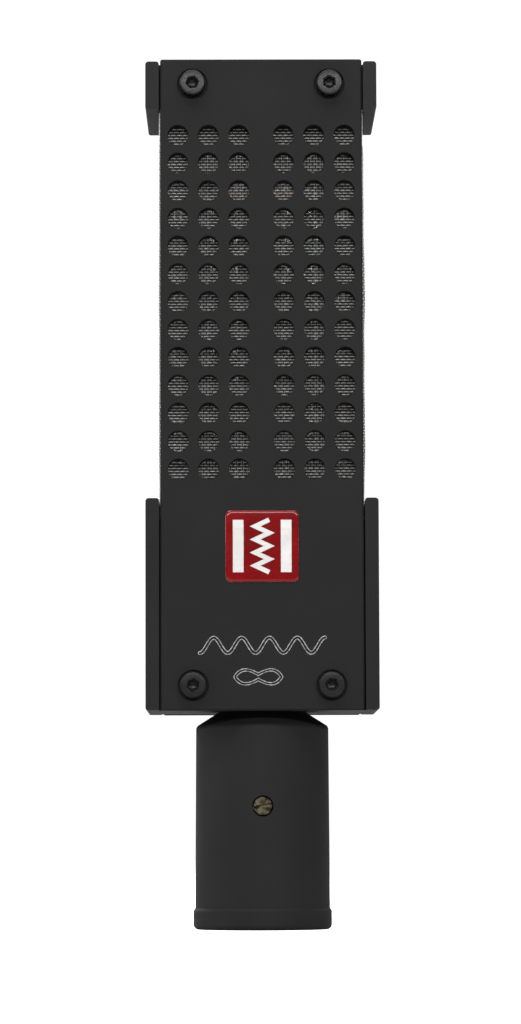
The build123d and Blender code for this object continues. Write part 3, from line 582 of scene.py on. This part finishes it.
def badge_symbol():
    """A generic ribbon sign: a folded ribbon between two pole pieces."""
    face, back = FRONT - BADGE_PROUD - STROKE_PROUD, FRONT - BADGE_PROUD + STROKE_ROOT
    shine = pearl()
    low, high = BADGE_MIDDLE - SIGN_REACH, BADGE_MIDDLE + SIGN_REACH
    for name, x in (("badge_pole_left", -POLE_AT), ("badge_pole_right", POLE_AT)):
        raised_stroke(name, [(x, low), (x, high)], POLE_WIDTH, face, back, shine)
    line = [(FOLD_REACH * (-1) ** i, low + 2 * SIGN_REACH / FOLDS * i) for i in range(FOLDS + 1)]
    raised_stroke("badge_ribbon", line, FOLD_WIDTH, face, back, shine)


# ================================================================ engravings
LINE_W, LINE_PROUD, LINE_DEPTH = 0.17, 0.015, 0.05
ROUND_END = 8                              # steps in the half circle that closes a double outline
WAVE_REACH, WAVE_HEIGHT, WAVES = 13.3, 1.62, 4.5
WAVE_MIDDLE, WAVE_GAP, WAVE_POINTS = 60.3, 0.62, 141
PICKUP_AT, PICKUP_REACH, PICKUP_LOBE, PICKUP_WAIST = (-0.9, 53.6), 4.9, 1.85, 0.55
PICKUP_GAP, PICKUP_POINTS = 0.3, 96        # from the sign's middle line to each of its two outlines


def engraved_loop(name, loop, material):
    """A thin closed line, set in the front face and just proud of it. loop holds x and z points."""
    edges = offset_line(loop, LINE_W / 2, True), offset_line(loop, -LINE_W / 2, True)
    count = len(loop)
    verts = [(x, y, z) for y in (FRONT - LINE_PROUD, FRONT + LINE_DEPTH) for edge in edges for x, z in edge]
    faces = []
    for i in range(count):
        j = (i + 1) % count
        faces.append((i, j, j + count, i + count))
        faces.append((i + 2 * count, i + 3 * count, j + 3 * count, j + 2 * count))
        faces.append((i, i + 2 * count, j + 2 * count, j))
        faces.append((i + count, j + count, j + 3 * count, i + 3 * count))
    sharpen(add_piece(name, verts, faces, material, smooth=False), 30)


def half_turn(centre, start):
    """The points of a half circle about centre, clockwise from start, without its two ends."""
    spoke = Vector(start - centre)
    turns = [Matrix.Rotation(-math.pi * k / ROUND_END, 2) for k in range(1, ROUND_END)]
    return np.array([list(centre + turn @ spoke) for turn in turns])


def double_outline(line, gap):
    """A closed loop that runs along one side of a line and back along the other, with round ends."""
    one, other = offset_line(line, gap / 2), offset_line(line, -gap / 2)
    return np.concatenate([one, half_turn(line[-1], one[-1]), other[::-1], half_turn(line[0], other[0])])


def engravings():
    """A sound wave over a figure-of-eight pickup sign, each in double outline."""
    grey = engraving()
    x = np.linspace(-WAVE_REACH, WAVE_REACH, WAVE_POINTS)
    wave = np.stack([x, WAVE_MIDDLE + WAVE_HEIGHT * np.sin(x * math.pi * WAVES / WAVE_REACH)], axis=1)
    engraved_loop("engraved_wave", double_outline(wave, WAVE_GAP), grey)
    turn = np.linspace(0, 2 * math.pi, PICKUP_POINTS, endpoint=False)
    round_part, lobes = np.abs(np.sin(turn)), np.abs(np.sin(2 * turn))
    for name, grow in (("engraved_pickup_outer", PICKUP_GAP), ("engraved_pickup_inner", -PICKUP_GAP)):
        reach, lobe, waist = PICKUP_REACH + grow, PICKUP_LOBE + grow, PICKUP_WAIST + grow
        height = (lobe - waist) * round_part ** 0.9 * lobes + waist * round_part
        loop = np.stack([PICKUP_AT[0] + reach * np.cos(turn), PICKUP_AT[1] + np.sign(np.sin(turn)) * height],
                        axis=1)
        engraved_loop(name, loop, grey)


# ================================================================ camera, light and stage
CAMERA_AT = (-5.632, -840.05, 18.078)
CAMERA_UP, CAMERA_RIGHT, CAMERA_ROLL = 4.8981, 0.3681, -0.1684     # degrees
SENSOR, LENS = 36.0, 136.564
BACKDROP_WHITE, WORLD_GLOW = 1.05, 0.18
FLOOR_REACH = 4.0


def add_camera():
    """The camera stands low in front of the microphone and looks slightly up."""
    up, right, roll = (math.radians(angle) for angle in (CAMERA_UP, CAMERA_RIGHT, CAMERA_ROLL))
    forward = Vector((math.sin(right) * math.cos(up), math.cos(right) * math.cos(up), math.sin(up)))
    level = forward.cross(Vector((0, 0, 1))).normalized()
    above = level.cross(forward)
    side = level * math.cos(roll) + above * math.sin(roll)
    top = above * math.cos(roll) - level * math.sin(roll)
    data = bpy.data.cameras.new("camera")
    data.sensor_fit, data.sensor_height, data.sensor_width, data.lens = "VERTICAL", SENSOR, SENSOR, LENS
    data.clip_start, data.clip_end = 0.01, 50
    camera = bpy.data.objects.new("camera", data)
    bpy.context.scene.collection.objects.link(camera)
    camera.matrix_world = Matrix.Translation(Vector(CAMERA_AT) * MM) @ Matrix((
        (side[0], top[0], -forward[0], 0), (side[1], top[1], -forward[1], 0),
        (side[2], top[2], -forward[2], 0), (0, 0, 0, 1)))
    bpy.context.scene.camera = camera


def softbox(name, at, aim, size, power):
    """A rectangular soft light: its place, aim, width and height in metres, and its watts."""
    data = bpy.data.lights.new(name, "AREA")
    data.shape, data.energy = "RECTANGLE", power
    data.size, data.size_y = size
    light = bpy.data.objects.new(name, data)
    bpy.context.scene.collection.objects.link(light)
    light.location = at
    light.rotation_euler = (Vector(aim) - Vector(at)).to_track_quat("-Z", "Y").to_euler()


def add_lights():
    """A low strip from the front, softer light from above, both sides and behind, and a lit floor."""
    middle = (0, 0, 0.11)
    softbox("key_light", (0.08, -0.95, 0.38), middle, (1.2, 0.08), 8.6)
    softbox("top_light", (-0.06, -0.45, 0.84), middle, (0.9, 0.3), 7.0)
    softbox("left_light", (-1.3, 0.1, 0.5), middle, (0.5, 0.7), 7.5)
    softbox("right_light", (1.3, 0.1, 0.4), middle, (0.5, 0.7), 0.5)
    softbox("rear_light", (-0.25, 1.0, 0.45), middle, (1.2, 0.3), 5)
    softbox("floor_light", (0, 0.9, 1.0), (0, 0.6, 0), (1.6, 0.6), 17)


def show_to_camera(nodes, links, seen, unseen, output):
    """The camera's own rays see one shader, and all other rays meet the other."""
    path, mix = nodes.new("ShaderNodeLightPath"), nodes.new("ShaderNodeMixShader")
    links.new(path.outputs["Is Camera Ray"], mix.inputs["Fac"])
    links.new(unseen, mix.inputs[1])
    links.new(seen, mix.inputs[2])
    links.new(mix.outputs["Shader"], output.inputs["Surface"])


def add_world():
    """The camera sees white behind the object, and only a dim glow lights it from all round."""
    world = bpy.data.worlds.new("studio")
    bpy.context.scene.world = world
    world.use_nodes = True
    nodes, links = world.node_tree.nodes, world.node_tree.links
    seen, glow = nodes["Background"], nodes.new("ShaderNodeBackground")
    for background, strength in ((seen, BACKDROP_WHITE), (glow, WORLD_GLOW)):
        background.inputs["Color"].default_value = WHITE
        background.inputs["Strength"].default_value = strength
    show_to_camera(nodes, links, seen.outputs["Background"], glow.outputs["Background"],
                   nodes["World Output"])


def add_floor():
    """A pale floor that melts into the white behind. It lights the object only as plain grey does."""
    mesh = bpy.data.meshes.new("floor")
    corners = [(-1, -1), (1, -1), (1, 1), (-1, 1)]
    mesh.from_pydata([(x * FLOOR_REACH, y * FLOOR_REACH, 0) for x, y in corners], [], [(0, 1, 2, 3)])
    pale = principled("pale_floor", Base_Color=(0.85, 0.85, 0.85, 1), Roughness=0.8,
                      Emission_Color=WHITE, Emission_Strength=1.0)
    nodes, links = pale.node_tree.nodes, pale.node_tree.links
    grey = nodes.new("ShaderNodeBsdfDiffuse")
    grey.inputs["Color"].default_value = (0.6, 0.6, 0.6, 1)
    show_to_camera(nodes, links, nodes["Principled BSDF"].outputs["BSDF"], grey.outputs["BSDF"],
                   nodes["Material Output"])
    mesh.materials.append(pale)
    floor = bpy.data.objects.new("floor", mesh)
    bpy.context.scene.collection.objects.link(floor)


# ================================================================ the scene
materials = slot_materials()
paint_nodes(materials)
woven_sleeve(materials)
fine_screen(materials)
cap_screws("front_socket_screws", "front_cap_screws", materials, front=True)
cap_screws("rear_socket_screws", "rear_cap_screws", materials, front=False)
badge_dome(materials)
badge_symbol()
engravings()
add_camera()
add_lights()
add_world()
add_floor()
bpy.context.scene.view_settings.view_transform = "Standard"
